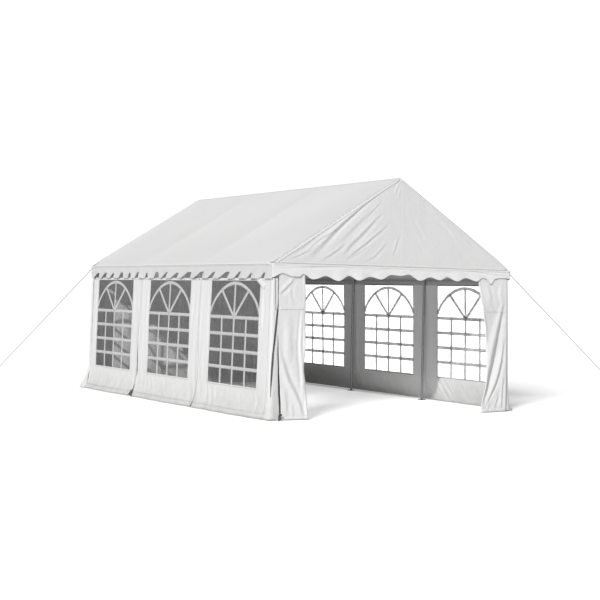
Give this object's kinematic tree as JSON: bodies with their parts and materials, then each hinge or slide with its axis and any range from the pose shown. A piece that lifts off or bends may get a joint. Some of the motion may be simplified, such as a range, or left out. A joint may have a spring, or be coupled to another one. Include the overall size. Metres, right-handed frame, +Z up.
{
  "type": "event tent",
  "caption": "White gable-roof party tent with scalloped valance, arched-window side walls, an open front with drawn-back door flaps, a closed rear and corner guy ropes.",
  "frame": {"origin": "on the ground, at the middle of the tent's plan", "axes": "+Z up, the open front gable faces -Y, +X to the right as seen from in front of that gable"},
  "size_m": [6.708, 8.708, 3.2601],
  "materials": {
    "frame_steel": "galvanised, slightly dull",
    "roof_cloth": "coated woven cover cloth, matt white",
    "wall_cloth": "coated woven wall cloth, matt white",
    "window_film": "clear flexible film",
    "rope": "braided cord",
    "peg_steel": "dark steel"
  },
  "bodies": {
    "root": {"leg_left_1": "frame_steel", "leg_left_2": "frame_steel", "leg_left_3": "frame_steel", "leg_left_4": "frame_steel", "leg_right_1": "frame_steel", "leg_right_2": "frame_steel", "leg_right_3": "frame_steel", "leg_right_4": "frame_steel", "truss_1": "frame_steel", "truss_2": "frame_steel", "truss_3": "frame_steel", "truss_4": "frame_steel", "eave_rail_left_1": "frame_steel", "eave_rail_left_2": "frame_steel", "eave_rail_left_3": "frame_steel", "eave_rail_right_1": "frame_steel", "eave_rail_right_2": "frame_steel", "eave_rail_right_3": "frame_steel", "ridge_rail_1": "frame_steel", "ridge_rail_2": "frame_steel", "ridge_rail_3": "frame_steel", "crossbar_front": "frame_steel", "crossbar_rear": "frame_steel", "roof_cover": "roof_cloth", "gable_front": "roof_cloth", "gable_rear": "roof_cloth", "valance_left": "roof_cloth", "valance_right": "roof_cloth", "valance_front": "roof_cloth", "valance_rear": "roof_cloth", "wall_left_1": "wall_cloth", "wall_left_2": "wall_cloth", "wall_left_3": "wall_cloth", "wall_right_1": "wall_cloth", "wall_right_2": "wall_cloth", "wall_right_3": "wall_cloth", "window_left_1": "window_film", "window_left_2": "window_film", "window_left_3": "window_film", "window_right_1": "window_film", "window_right_2": "window_film", "window_right_3": "window_film", "door_flap_left": "wall_cloth", "door_flap_right": "wall_cloth", "rear_door_left": "wall_cloth", "rear_door_right": "wall_cloth", "guy_rope_rear_left": "rope", "guy_rope_front_right": "rope", "ground_peg_rear_left": "peg_steel", "ground_peg_front_right": "peg_steel"}
  },
  "joints": []
}
